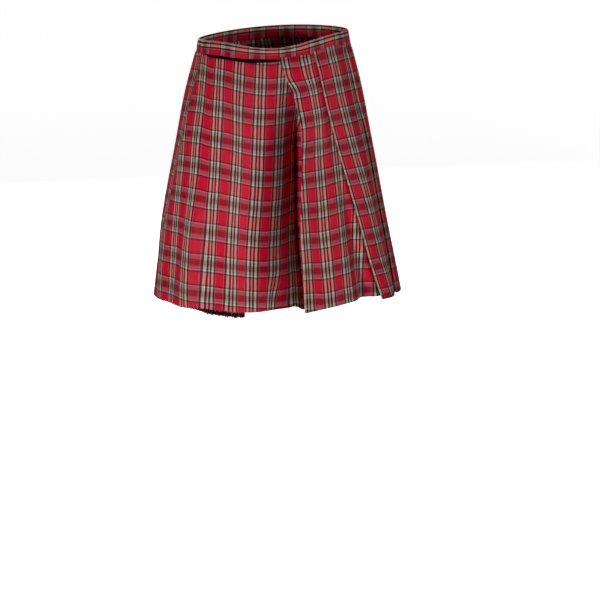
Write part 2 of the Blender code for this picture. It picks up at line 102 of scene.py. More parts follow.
SEAM_STEP = 0.85 * PLY
Flute = namedtuple("Flute", "arc_waist arc_hem half_width height_hem starts")
APRON_FLUTES = (
    Flute(-0.060, -0.075, 0.060, 0.0080, 0.10),
    Flute(-0.090, -0.150, 0.050, -0.0035, 0.35),
    Flute(-0.120, -0.205, 0.040, 0.0040, 0.25),
    Flute(-0.150, -0.262, 0.040, -0.0060, 0.45),
)
SIDE_FLUTES = (
    Flute(0.070, 0.120, 0.050, 0.0060, 0.20),
    Flute(0.100, 0.205, 0.042, -0.0210, 0.40),
)
FLUTE_WAIST_SHARE = 0.55
FLUTE_FULL_DROP = 1.15
SIDE_FLUTES_FADE = (0.020, 0.030)
VALLEY_DEPTH = 0.098
VALLEY_REACH_WAIST = 0.108
VALLEY_REACH_HEM = 0.134
VALLEY_BEHIND = 0.018
VALLEY_DEEPENS = (0.05, 0.42)
VALLEY_EASES = (1.25, 0.72)
VALLEY_STEEPENS = 1.55
VALLEY_RETURN = 0.002
EDGE_RISE = 0.020
EDGE_RISE_REACH = 0.050
EDGE_RISE_STEEPENS = 1.5
EDGE_RISE_GROWS = (0.10, 0.45)
EDGE_RISE_EASES = (1.30, 0.80)
OVER_LIFT = 0.0020
UNDER_LIFT = -0.0016
BAND_OVER_LIFT = 0.0030
BAND_UNDER_LIFT = -0.0018
BAND_BACK_LIFT = 0.0020
TAPE_LIFT = 0.0002
TAPE_INNER_LIFT = -0.0014
BAND_STEP = 0.060
BAND_STEP_ARCS = (0.100, 0.010)  # where it steps out to lie over its other end, in the front
TAPE_STEP_ARCS = (-0.018, -0.046)
OVER_COVER_REACH = 0.034
EDGE_KICK = 0.003
EDGE_KICK_REACH = 0.050
GAP_DROP = 0.0068
GAP_FADES = (0.020, -0.080)
GAP_ARC_LEFT = -0.163
GAP_ARC_RIGHT = 0.030
GAP_TAPER = 0.030
BAND_RAISE = 0.0055
BAND_RAISE_ARC = -0.005
BAND_RAISE_REACH = 0.085
TAPE_HEIGHT = 0.026
TAPE_TOP = 0.008
UNDER_STEP_WAIST = 0.008
UNDER_STEP_GROWS = 0.050
UNDER_HEM_EXTRA = 0.0105
UNDER_HEM_REACHES = (0.147, 0.072)
PLEAT_1_DIP = 0.002
PLEAT_1_DIP_REACH = 0.090
PLEAT_2_DIP = 0.006
PLEAT_2_DIP_REACHES = (0.190, 0.090)
OVER_HEM_LIFT = 0.0042
OVER_HEM_REACHES = (0.100, 0.045)
OVER_HEM_SLANT = 0.018
OVER_SLANT_REACHES = (0.018, -0.021)

# ---- what the scene adds: finer rows and folds, and the cloth's own creases ----
ROWS = np.concatenate([np.linspace(0, 0.88, 74)[:-1], np.linspace(0.88, 1.0, 27)])
FOLD_ANGLES = np.linspace(90, -90, 9)
INNER_ANGLES = np.linspace(90, -90, 7)
FOLD_BACK_SHARES = np.linspace(0.1, 0.8, 8)
POINT_STEP = 0.0032  # about how far apart the stations of a face lie
HIDDEN_POINTS = 8
OVER_POINTS = 150
UNDER_POINTS = 80
BAND_POINTS = 330
TAPE_POINTS = 90
TAPE_ROWS = 12
TUCK = 0.004  # how far the cloth goes up inside the waistband
TUCK_REACH = 0.030  # the share of the drop over which its layers are pressed flat
TUCK_FLAT = 0.75
SETT_WIDE = 0.048  # one repeat of the tartan across the warp
SETT_TALL = 0.063  # and along it

# soft troughs (-) and ridges (+), each along a line from one arc and drop to another
Crease = namedtuple("Crease", "arc_1 drop_1 arc_2 drop_2 half_width height")
OVER_CREASES = (
    Crease(-0.034, 0.118, 0.036, 0.060, 0.0100, -0.0024),
    Crease(-0.030, 0.140, 0.030, 0.098, 0.0110, 0.0016),
    Crease(-0.004, 0.170, 0.052, 0.150, 0.0120, -0.0012),
    Crease(0.012, 0.880, -0.012, 0.962, 0.0060, -0.0028),
    Crease(0.004, 0.900, -0.020, 0.985, 0.0050, 0.0016),
    Crease(-0.014, 0.915, -0.030, 0.975, 0.0050, -0.0013),
    Crease(0.022, 0.905, 0.010, 0.990, 0.0060, 0.0015),
    Crease(-0.150, 0.020, -0.120, 0.170, 0.0150, -0.0012),
    Crease(-0.215, 0.300, -0.190, 0.620, 0.0220, -0.0016),
    Crease(-0.090, 0.330, -0.110, 0.800, 0.0260, 0.0015),
    Crease(-0.108, 0.090, -0.066, 0.480, 0.0160, -0.0024),
    Crease(-0.074, 0.080, -0.052, 0.330, 0.0150, 0.0020),
    Crease(-0.135, 0.440, -0.120, 0.760, 0.0170, 0.0018),
    Crease(-0.150, 0.420, -0.205, 1.150, 0.0420, 0.0065),
)
SIDE_CREASES = (
    Crease(0.055, 0.050, 0.090, 0.260, 0.0130, -0.0016),
    Crease(0.100, 0.180, 0.128, 0.520, 0.0180, 0.0016),
    Crease(0.090, 0.560, 0.105, 0.930, 0.0160, -0.0018),
    Crease(0.150, 0.460, 0.225, 1.150, 0.0320, -0.0040),
)
CREASE_FADES = 0.35  # the share of its length over which each end of a crease fades
FINE_FADES = (0.004, -0.012)  # arc beside pleat 1's edge over which they start
# slow unevenness that every layer shares, so none cuts another
Ripple = namedtuple("Ripple", "turns drops phase height")
RIPPLES = (
    Ripple(7, 0.8, 0.4, 0.0007),
    Ripple(11, -1.3, 1.9, 0.0005),
    Ripple(17, 2.1, 3.1, 0.00035),
)
RIPPLE_GROWS = (0.02, 0.50)  # drops


def smoothstep(value, start, end):
    """0 at start, 1 at end, soft at both; start may be above end."""
    t = np.clip((np.asarray(value, float) - start) / (end - start), 0.0, 1.0)
    return t * t * (3 - 2 * t)


def bell(value):
    """1 at 0, 0 from -1 and 1 outwards."""
    return np.cos(np.clip(value, -1, 1) * math.pi / 2) ** 2


def unit(vectors):
    return vectors / np.linalg.norm(vectors, axis=-1, keepdims=True)


def column(table, name, drop):
    """One column of a table of drops, read along a smooth curve."""
    drops = np.array([row.drop for row in table])
    values = np.array([getattr(row, name) for row in table])
    slopes = np.gradient(values, drops)
    drop = np.asarray(drop, float)
    i = np.clip(np.searchsorted(drops, drop) - 1, 0, len(drops) - 2)
    step = drops[i + 1] - drops[i]
    t = (drop - drops[i]) / step
    inside = (
        (2 * t**3 - 3 * t**2 + 1) * values[i]
        + (t**3 - 2 * t**2 + t) * step * slopes[i]
        + (3 * t**2 - 2 * t**3) * values[i + 1]
        + (t**3 - t**2) * step * slopes[i + 1]
    )
    beyond = values[-1] + slopes[-1] * (drop - drops[-1])
    return np.where(drop > drops[-1], beyond, inside)


RING_DROPS = np.linspace(0.0, 1.05, 64)
RING_SHARES = np.linspace(-0.5, 0.5, 481)


def ring_tables():
    """Perimeters, and at even shares of each: x, y, outward normal, and how far to the
    wearer's left and to the front the place is, from -1 to 1."""
    perimeters, tables = [], []
    angle = np.linspace(-math.pi, math.pi, 721)
    for drop in RING_DROPS:
        wide, deep, left, back = (column(SECTIONS, name, drop) for name in Section._fields[1:])
        x, y = wide * np.sin(angle), -deep * np.cos(angle)
        run = np.concatenate([[0], np.cumsum(np.hypot(np.diff(x), np.diff(y)))])
        share = run / run[-1] - 0.5
        at = np.interp(RING_SHARES, share, angle)
        normal = np.stack([np.sin(at) / wide, -np.cos(at) / deep])
        normal /= np.linalg.norm(normal, axis=0)
        perimeters.append(run[-1])
        x, y = left + wide * np.sin(at), back - deep * np.cos(at)
        tables.append(np.stack([x, y, *normal, np.sin(at), np.cos(at)]))
    return np.array(perimeters), np.array(tables)


RING_PERIMETERS, RING_POINTS = ring_tables()


def perimeter(drop):
    return np.interp(drop, RING_DROPS, RING_PERIMETERS)


def waist_edge(x, leftness, frontness):
    """Height of the waistband's lower edge."""
    front = WAIST_DIP * bell((leftness - WAIST_DIP_CENTRE) / WAIST_DIP_REACH)
    dip = np.where(frontness > 0, front, -WAIST_BACK_RISE * frontness**2)
    return WAIST_ROLL * x - dip - BAND_HEIGHT / 2


def hem_edge(leftness):
    return HEM_HEIGHT + HEM_RISE * smoothstep(leftness, *HEM_RISES)


def ripple(share, drop):
    total = np.zeros_like(share)
    for wave in RIPPLES:
        turn = wave.turns * share + wave.drops * drop
        total = total + wave.height * np.sin(2 * math.pi * turn + wave.phase)
    return total * smoothstep(drop, *RIPPLE_GROWS)


def place(arc, lift, drop, raised=0.0):
    """World points of stations, given as arrays of arc, lift and drop."""
    arc, lift, drop = np.broadcast_arrays(*(np.asarray(v, float) for v in (arc, lift, drop)))
    share = (arc / perimeter(drop) + 0.5) % 1.0
    row = np.interp(drop, RING_DROPS, np.arange(len(RING_DROPS)))
    col = share * (len(RING_SHARES) - 1)
    r0, c0 = row.astype(int), col.astype(int)
    r1 = np.minimum(r0 + 1, len(RING_DROPS) - 1)
    c1 = np.minimum(c0 + 1, len(RING_SHARES) - 1)
    fr, fc = row - r0, col - c0
    x, y, nx, ny, leftness, frontness = (
        RING_POINTS[r0, k, c0] * (1 - fr) * (1 - fc) + RING_POINTS[r1, k, c0] * fr * (1 - fc)
        + RING_POINTS[r0, k, c1] * (1 - fr) * fc + RING_POINTS[r1, k, c1] * fr * fc
        for k in range(6)
    )
    lift = lift + ripple(share, drop)
    x, y = x + nx * lift, y + ny * lift
    top = waist_edge(x, leftness, frontness)
    z = top + (hem_edge(leftness) - top) * drop + raised
    return np.stack([x, y, z], axis=-1)


# ---- folds ----
def fold_row(number):
    return next(row for row in FOLDS if row.number == number)


def fold_arc(number, drop):
    """Arc of a pleat's outer edge. Pleats 4 to 9 are spaced evenly round the back."""
    if number <= 3:
        return column(EDGES, f"pleat_{number}", drop)
    first = column(EDGES, "pleat_3", drop)
    last = column(EDGES, "pleat_10", drop) + perimeter(drop)
    even = first + (last - first) * (number - 3) / (PLEAT_COUNT - 3)
    return even + fold_row(number).sway * drop**2


def underlap(number, drop):
    row = fold_row(number)
    return row.underlap_waist + (row.underlap_hem - row.underlap_waist) * drop


def seam(number, drop):
    """Arc of the turn or seam inside a fold, where the next face or panel begins."""
    return fold_arc(number, drop) + underlap(number, drop)


def edge_lift(number, drop):
    return 2 * PLY + fold_row(number).open_hem * drop**OPENING_GROWS


def fold_radius(number, drop):
    return PLY / 2 + OPENING_ROUND * fold_row(number).open_hem * drop


def flutes(table, arc, drop):
    total = np.zeros(np.broadcast(arc, drop).shape)
    for flute in table:
        centre = flute.arc_waist + (flute.arc_hem - flute.arc_waist) * drop
        reach = flute.half_width * (FLUTE_WAIST_SHARE + (1 - FLUTE_WAIST_SHARE) * drop)
        grown = smoothstep(drop, flute.starts, FLUTE_FULL_DROP)
        total = total + flute.height_hem * grown * bell((arc - centre) / reach)
    return total


def creases(table, arc, drop):
    """Lift of the small folds, with distances taken on the flat cloth."""
    total = np.zeros(np.broadcast(arc, drop).shape)
    down = np.asarray(drop) * SKIRT_LENGTH
    for crease in table:
        x1, y1 = crease.arc_1, crease.drop_1 * SKIRT_LENGTH
        x2, y2 = crease.arc_2, crease.drop_2 * SKIRT_LENGTH
        long = math.hypot(x2 - x1, y2 - y1)
        ux, uy = (x2 - x1) / long, (y2 - y1) / long
        along = ((arc - x1) * ux + (down - y1) * uy) / long
        aside = -(arc - x1) * uy + (down - y1) * ux
        ends = smoothstep(along, 0.0, CREASE_FADES) * smoothstep(along, 1.0, 1 - CREASE_FADES)
        total = total + crease.height * bell(aside / crease.half_width) * ends
    return total


def edge_rise(arc, drop):
    """How far pleat 1's face comes forward towards its edge, with all that lies under it."""
    near = np.clip((fold_arc(1, drop) + EDGE_RISE_REACH - arc) / EDGE_RISE_REACH, 0, 1)
    grown = smoothstep(drop, *EDGE_RISE_GROWS) * smoothstep(drop, *EDGE_RISE_EASES)
    return EDGE_RISE * grown * near**EDGE_RISE_STEEPENS


def valley(arc, drop):
    """The over apron sinks up to pleat 1's edge, and comes back to its layers behind it."""
    edge = fold_arc(1, drop)
    deepened = smoothstep(drop, *VALLEY_DEEPENS)
    bottom = edge + VALLEY_BEHIND * deepened
    reach = VALLEY_REACH_WAIST + (VALLEY_REACH_HEM - VALLEY_REACH_WAIST) * drop
    sink = np.clip((arc - bottom + reach) / reach, 0, 1) ** VALLEY_STEEPENS
    back = smoothstep(arc, edge + underlap(1, drop) - VALLEY_RETURN, bottom)
    below = VALLEY_DEPTH * deepened * smoothstep(drop, *VALLEY_EASES) + edge_rise(edge, drop)
    return sink * (edge_rise(arc, drop) - below * back)


def face_lift(arc, start, number, drop):
    """Lift of a pleat's face, from where it leaves the pleat before to its own edge."""
    edge = fold_arc(number, drop)
    risen = np.minimum(seam(number, drop) + FACE_MARGIN, start - FACE_LEAST)
    rise = smoothstep(arc, start - FACE_MARGIN, risen)
    along = np.clip((start - arc) / (start - edge), 0, 1)
    opening = (edge_lift(number, drop) - 2 * PLY) * along**OPENING_STARTS
    belly = fold_row(number).belly * np.sin(math.pi * along) * smoothstep(drop, *BELLY_GROWS)
    return 2 * PLY * rise + opening + belly


# one place across a panel; nose marks the outermost one of a fold
Station = namedtuple("Station", "arc lift pleat nose")


def turned(arc, side, radius, middle, number, angles):
    """Stations of a half turn of the cloth. side is 1 on an outer fold and -1 on an inner."""
    out = []
    for degrees in angles:
        a = math.radians(degrees)
        at = arc + side * radius * (1 - math.cos(a))
        nose = side > 0 and abs(degrees) < 1
        out.append(Station(at, middle + radius * math.sin(a), number, nose))
    return out


def pleat_stations(number, start, drop, hidden_from=None, extra=None):
    """Stations of one pleat: its face, the outer fold and the layer turned back."""
    edge = fold_arc(number, drop)
    radius = fold_radius(number, drop)
    top = edge_lift(number, drop)
    deep = underlap(number, drop)
    count = round((FACE_STARTS[number] - fold_arc(number, 1.0)) / POINT_STEP)
    face = np.linspace(start, edge + radius, count + 1)[:-1]
    if hidden_from is not None:
        face = np.concatenate([np.linspace(hidden_from, start, HIDDEN_POINTS + 1)[:-1], face])
    lift = face_lift(face, start, number, drop)
    if extra is not None:
        lift = lift + extra(face, drop)
    out = [Station(a, l, number, False) for a, l in zip(face, lift)]
    out += turned(edge, 1, radius, top - radius, number, FOLD_ANGLES)
    middle = top - 2 * radius
    for share in FOLD_BACK_SHARES:
        back = PLY + (middle - PLY) * (1 - share) ** FOLD_BACK_CLOSES
        out.append(Station(edge + deep * share, back, number, False))
    return out


def inner_fold(number, drop):
    """Stations of the turn that carries the cloth on to the next face."""
    return turned(seam(number, drop), -1, PLY / 2, PLY / 2, number, INNER_ANGLES)


def seam_end(number, drop):
    """The last stations of a panel, whose edge lies over that of the next one."""
    end = seam(number, drop)
    lifts = ((end - SEAM_ALLOWANCE, SEAM_STEP), (end, CLOTH_WALL + SEAM))
    return [Station(arc, lift, number, False) for arc, lift in lifts]


# arc at the hem where each pleat's face begins
FACE_STARTS = {n: float(fold_arc(n + 1, 1.0)) for n in range(1, PLEAT_COUNT)}
FACE_STARTS[PLEAT_COUNT] = float(column(EDGES, "apron_end", 1.0) + perimeter(1.0))


# ---- the panels, each a function of the drop that gives its stations ----
def pleated_panel(numbers, after):
    """A panel with several pleats, sewn on inside the fold numbered after."""
    def stations(drop):
        out, previous = [], after
        for number in numbers:
            begin = seam(previous, drop) - (0 if previous == after else PLY / 2)
            out += pleat_stations(number, fold_arc(previous, drop), drop, begin - FACE_MARGIN)
            out += inner_fold(number, drop) if number != numbers[-1] else seam_end(number, drop)
            previous = number
        return out
    return stations


def apron_pleat(drop):
    """The wide face in front of the wearer's left hip, with pleat 1 at its front edge."""
    edge, start = fold_arc(1, drop), fold_arc(2, drop)
    def soft(arc, drop):
        fade_2, fade_1 = SIDE_FLUTES_FADE
        fade = smoothstep(arc, start, start - fade_2) * smoothstep(arc, edge, edge + fade_1)
        return (flutes(SIDE_FLUTES, arc, drop) + creases(SIDE_CREASES, arc, drop)) * fade
    flat = pleat_stations(1, start, drop, seam(2, drop), soft) + seam_end(1, drop)
    return [s._replace(lift=s.lift + edge_rise(s.arc, drop)) for s in flat]


def over_lift(arc, drop):
    """Lift of the over apron, which dives under pleat 1."""
    edge = fold_arc(1, drop)
    cover = smoothstep(arc, edge, edge - OVER_COVER_REACH)
    end = column(EDGES, "apron_end", drop)
    kick = EDGE_KICK * drop * smoothstep(arc, end + EDGE_KICK_REACH, end)
    fade, full = FINE_FADES
    fine = creases(OVER_CREASES, arc, drop) * smoothstep(arc, edge + fade, edge + full)
    return OVER_LIFT * cover + flutes(APRON_FLUTES, arc, drop) + valley(arc, drop) + fine + kick


def over_apron(drop):
    arcs = np.linspace(seam(1, drop), column(EDGES, "apron_end", drop), OVER_POINTS)
    return [Station(a, l, 0, False) for a, l in zip(arcs, over_lift(arcs, drop))]


def under_apron(drop):
    """From the free edge inside the front to the wrap's first fold, pleat 10."""
    round_once = perimeter(drop)
    end = column(EDGES, "apron_end", drop)
    inside = np.linspace(UNDER_EDGE_ARC, end, UNDER_POINTS)[:-1]
    follow = smoothstep(inside, end, end + UNDER_STEP_WAIST + UNDER_STEP_GROWS * drop)
    waves = flutes(APRON_FLUTES, inside, drop) + creases(OVER_CREASES, inside, drop)
    lift = UNDER_LIFT * follow + waves * follow
    out = [Station(a + round_once, l, PLEAT_COUNT, False) for a, l in zip(inside, lift)]
    out += pleat_stations(PLEAT_COUNT, end + round_once, drop)
    return out + seam_end(PLEAT_COUNT, drop)


# ---- how far each panel's top edge lies below the band and its hem below the level ----
def no_shift(arc):
    return np.zeros_like(arc)


def band_raise(arc):
    """How far the band's lower edge is drawn up, near the front centre."""
    return BAND_RAISE * bell((arc - BAND_RAISE_ARC) / BAND_RAISE_REACH)


def over_top(arc):
    return GAP_DROP * smoothstep(arc, GAP_ARC_LEFT, GAP_ARC_LEFT + GAP_TAPER) * smoothstep(arc, *GAP_FADES)


def pleat_1_top(arc):
    return -band_raise(arc)


def under_hem(arc):
    first = UNDER_EDGE_ARC + perimeter(1.0)
    return UNDER_HEM_EXTRA * smoothstep(first - arc, *UNDER_HEM_REACHES)


def over_hem(arc):
    """The over apron's hem rises into the valley, slants down to pleat 1's corner and meets
    pleat 1's hem at the seam."""
    edge = fold_arc(1, 1.0)
    joined = smoothstep(arc, edge, seam(1, 1.0) - SEAM_ALLOWANCE)
    lifted = OVER_HEM_LIFT * smoothstep(edge - arc, *OVER_HEM_REACHES)
    slanted = OVER_HEM_SLANT * smoothstep(edge - arc, *OVER_SLANT_REACHES)
    return (slanted - lifted) * (1 - joined) + pleat_1_hem(arc) * joined


def pleat_1_hem(arc):
    return PLEAT_1_DIP * smoothstep(arc - fold_arc(1, 1.0), PLEAT_1_DIP_REACH, 0)


def left_side_hem(arc):
    return PLEAT_2_DIP * smoothstep(arc - fold_arc(2, 1.0), *PLEAT_2_DIP_REACHES)


# ---- where the tartan lies on each panel: across the warp and up it, in metres ----
CLOTH_LENGTH = 0.520  # from the hem's edge to the band, along the warp
SETT_OFFSET = 0.022  # on the over apron a sett's middle line starts so far right of the centre
SETT_LEAN = 0.020  # and ends so much further right
SETT_SCALE = 1.06
SETT_SCALE_FALLS = 0.02
# How far the tartan is moved from its even place. A step grows from its first arc to its
# second, a hump reaches to both sides of its arc, and both grow from drop_1 to drop_2. More
# metres move the warp's lines to the wearer's right, and the weft's down.
Step = namedtuple("Step", "metres arc_1 arc_2 drop_1 drop_2")
Hump = namedtuple("Hump", "metres arc reach drop_1 drop_2")
OVER_WARP = (
    Step(0.0140, 0.000, -0.150, 0.58, 1.00),  # low down the lines spread to the wearer's right
    Step(0.0100, -0.135, -0.175, 0.12, 0.35),  # and so they do along the free edge
    Hump(-0.0040, -0.084, 0.034, 0.10, 0.30),  # one sett lies nearer the middle, down a soft fold
    Step(-0.0078, -0.030, -0.095, 0.55, 0.95),  # low down two setts lie nearer it,
    Step(0.0078, -0.210, -0.310, 0.55, 0.95),  # and those beyond them don't
    Hump(0.0130, 0.004, 0.040, 0.84, 0.99),  # the hem is pulled sideways in the valley
)
OVER_WARP_LOW = 0.005  # all lines move so far between these drops
OVER_WARP_LOW_DROPS = (0.45, 0.80)
OVER_WEFT = (
    Hump(0.0075, 0.015, 0.090, 0.15, 0.55),  # it sags in the valley
    Step(-0.0140, 0.010, -0.120, 1.10, 0.35),  # and rises towards the wearer's right
    Step(-0.0050, -0.150, -0.230, 0.45, 0.75),  # and once more low at the free edge
)
# the arc of a sett's line on the panel beside it, at each drop
SETT_LINE = (
    (0.00, 0.067), (0.13, 0.081), (0.26, 0.090), (0.43, 0.095), (0.60, 0.102), (0.80, 0.108), (1.00, 0.112),
)
# high on pleat 1 the stripes near its edge lie further from that edge
EDGE_SHIFT = 0.011
EDGE_SHIFT_REACH = (0.065, 0.010)
EDGE_SHIFT_STARTS = (0.06, 0.14)
EDGE_SHIFT_ENDS = (0.46, 0.26)
PLEAT_PHASE = 0.0402  # how far back in the sett each pleat's edge lies
UNDER_PHASE = 0.010  # where in it the under apron lies beside the over apron's free edge
# how much higher than on the over apron, pleat 0 here, the weft lies on each pleat's face
WEFT_SHIFTS = (0.0, -0.014, -0.0235, -0.0235, -0.020, -0.014, -0.008, -0.004, 0.0, 0.003, 0.0)
PLEAT_1_WEFT_RISE = 0.009  # pleat 1's weft rises to the pleat's edge
PLEAT_1_WEFT_REACH = 0.050
PLEAT_1_WEFT_DROPS = (0.0, 0.9)


def shifts(table, arcs, drop):
    total = np.zeros(np.broadcast(arcs, drop).shape)
    for row in table:
        if isinstance(row, Step):
            across = smoothstep(arcs, row.arc_1, row.arc_2)
        else:
            across = bell((arcs - row.arc) / row.reach)
        total = total + row.metres * across * smoothstep(drop, row.drop_1, row.drop_2)
    return total


def of_each(rows, name):
    """One value of every station, as a grid."""
    return np.array([[getattr(station, name) for station in row] for row in rows])


def run_along(points):
    """Length of each row of points up to each of them."""
    steps = np.linalg.norm(np.diff(points, axis=1), axis=2)
    return np.concatenate([np.zeros((len(points), 1)), np.cumsum(steps, axis=1)], axis=1)


def run_at(arc, row, run):
    """Where on a row's run an arc lies, on the face before its first fold."""
    nose = next(i for i, s in enumerate(row) if s.nose)
    return np.interp(-arc, [-s.arc for s in row[:nose]], run[:nose]), run[nose]


def across_over(rows, points):
    arcs, drop = of_each(rows, "arc"), ROWS[:, None]
    even = (arcs + SETT_OFFSET + SETT_LEAN * drop) * (SETT_SCALE - SETT_SCALE_FALLS * drop)
    low = OVER_WARP_LOW * smoothstep(drop, *OVER_WARP_LOW_DROPS)
    return even + shifts(OVER_WARP, arcs, drop) + low


def across_side(rows, points):
    out = run_along(points)
    for drop, row, run in zip(ROWS, rows, out):
        at, nose = run_at(np.interp(drop, *zip(*SETT_LINE)), row, run)
        near = smoothstep(nose - run, *EDGE_SHIFT_REACH)
        down = smoothstep(drop, *EDGE_SHIFT_STARTS) * smoothstep(drop, *EDGE_SHIFT_ENDS)
        run[:] = at - run - EDGE_SHIFT * near * down
    return out


def across_pleats(rows, points):
    """Every pleat shows the same stripe at its edge: it is pleated to the sett."""
    out = run_along(points)
    for row, run in zip(rows, out):
        noses = {s.pleat: run[i] for i, s in enumerate(row) if s.nose}
        run[:] = [noses[s.pleat] - at - PLEAT_PHASE for s, at in zip(row, run)]
    return out


def across_under(rows, points):
    """The stripes run beside the over apron's free edge."""
    out = run_along(points)
    for drop, row, run in zip(ROWS, rows, out):
        at, _ = run_at(column(EDGES, "apron_end", drop) + perimeter(drop), row, run)
        run[:] = at - run + UNDER_PHASE
    return out


def up_cloth(rows):
    """The place along the warp, from the hem up."""
    arcs, pleats, drop = of_each(rows, "arc"), of_each(rows, "pleat"), ROWS[:, None]
    edge = fold_arc(1, drop)
    near = smoothstep(arcs, edge + PLEAT_1_WEFT_REACH, edge)
    rise = PLEAT_1_WEFT_RISE * near * smoothstep(drop, *PLEAT_1_WEFT_DROPS)
    even = (1 - drop) * CLOTH_LENGTH - np.array(WEFT_SHIFTS)[pleats]
    return even + np.where(pleats == 0, shifts(OVER_WEFT, arcs, drop), np.where(pleats == 1, -rise, 0))


# ---- meshes ----
def add_object(name, data):
    obj = bpy.data.objects.new(name, data)
    bpy.context.scene.collection.objects.link(obj)
    return obj


def add_mesh(name, points, faces, uv, material):
    """A smooth mesh. uv is each point's place on the cloth."""
    data = bpy.data.meshes.new(name)
    data.from_pydata([tuple(p) for p in points], [], faces)
    layer = data.uv_layers.new(name="cloth")
    loops = np.empty(len(data.loops), int)
    data.loops.foreach_get("vertex_index", loops)
    layer.data.foreach_set("uv", np.asarray(uv, float)[loops].ravel())
    data.shade_smooth()
    data.materials.append(material)
    return add_object(name, data)


def faces_of(*corners):
    """Faces, from the indices of their corners: an array for each corner."""
    return np.stack(np.broadcast_arrays(*corners), axis=-1).reshape(-1, len(corners)).tolist()


def rings_of(index):
    """Faces between the rows of a grid of points whose rows are closed rings."""
    after = np.roll(index, -1, axis=1)
    return faces_of(index[:-1], after[:-1], after[1:], index[1:])


def shell(name, grid, uv, thickness, material):
    """A closed thin shell on a grid of points, with pointed rims. grid runs down and along,
    the right side lies to the left of the run."""
    half = thickness / 2
    along, down = np.gradient(grid, axis=1), np.gradient(grid, axis=0)
    out = unit(np.cross(along, down)) * half
    rims = grid.copy()
    rims[0] -= unit(down[0]) * half
    rims[-1] += unit(down[-1]) * half
    rims[:, 0] -= unit(along[:, 0]) * half
    rims[:, -1] += unit(along[:, -1]) * half
    index = np.arange(grid[..., 0].size).reshape(grid.shape[:2])
    border = np.concatenate([index[0], index[1:, -1], index[-1, -2::-1], index[-2:0:-1, 0]])
    back = index + index.size
    rings = np.array([border, 2 * index.size + np.arange(len(border)), border + index.size])
    faces = faces_of(index[:-1, :-1], index[1:, :-1], index[1:, 1:], index[:-1, 1:])
    faces += faces_of(back[:-1, :-1], back[:-1, 1:], back[1:, 1:], back[1:, :-1])
    faces += rings_of(rings)
    right, wrong, rims = (g.reshape(-1, 3) for g in (grid + out, grid - out, rims))
    flat = uv.reshape(-1, 2)
    uvs = np.concatenate([flat, flat, flat[border]])
    return add_mesh(name, np.concatenate([right, wrong, rims[border]]), faces, uvs, material)


def panel(name, stations, across, top_shift, hem_shift, tucked):
    """The cloth of one panel, its points and its width. A tucked one is gathered into the
    waistband's lower edge."""
    rows = [stations(drop) for drop in ROWS]
    arc, lift, share = of_each(rows, "arc"), of_each(rows, "lift"), ROWS[:, None]
    drop = share + ((top_shift(arc) + SEAM) * (1 - share) + hem_shift(arc) * share) / SKIRT_LENGTH
    if tucked:
        flat = TUCK_FLAT * smoothstep(share, TUCK_REACH, 0)
        lift = lift * (1 - flat) + BAND_BACK_LIFT * flat
        drop[0] -= TUCK / SKIRT_LENGTH
    points = place(arc, lift, drop)
    uv = np.stack([across(rows, points), up_cloth(rows)], axis=-1)
    half_way_down = run_along(points)[len(ROWS) // 2]
    return shell(name, points, uv, CLOTH_WALL, TARTAN), points, float(half_way_down[-1])


# ---- waistband and tape ----
BAND_WARP_PHASE = -0.0262
BAND_WEFT_PHASE = 0.0596
BAND_SIDE_SHARES = np.linspace(0.02, 0.92, 9)  # of its height, up its outer side
BAND_TOP_ANGLES = (60, 30, 0, -30, -60)
BAND_TOP_ROUND = 0.045  # share of its height that is rounded at the top
BAND_BOTTOM = ((0.0, -0.5), (0.0, 0.5))
BAND_FULL = 0.00045  # how far it swells between its seams
BAND_FULL_SHARES = (0.12, 0.92)
BAND_SUNK = 0.0002  # beside them it lies inside the solid
BAND_SMOOTHING = 9


def strip(arcs, lifts, heights):
    """Rows of points of a strip round the waist, at heights above the band's lower edge."""
    above = np.maximum(0.0, heights[:, None])
    drop = (above - heights[:, None]) / SKIRT_LENGTH
    return place(arcs, lifts - BAND_FLARE * above / BAND_HEIGHT, drop, above)


def band_lifts(arcs):
    """The band starts inside its other end, and steps out twice on its way round."""
    joined = -EDGES[0].apron_end - perimeter(0.0)
    places = [joined, joined + BAND_STEP, *(-arc for arc in BAND_STEP_ARCS)]
    levels = [BAND_UNDER_LIFT, BAND_BACK_LIFT, BAND_BACK_LIFT, BAND_OVER_LIFT]
    lifts = np.interp(-arcs, places, levels)
    padded = np.pad(lifts, BAND_SMOOTHING // 2, mode="edge")
    return np.convolve(padded, np.ones(BAND_SMOOTHING) / BAND_SMOOTHING, mode="valid")


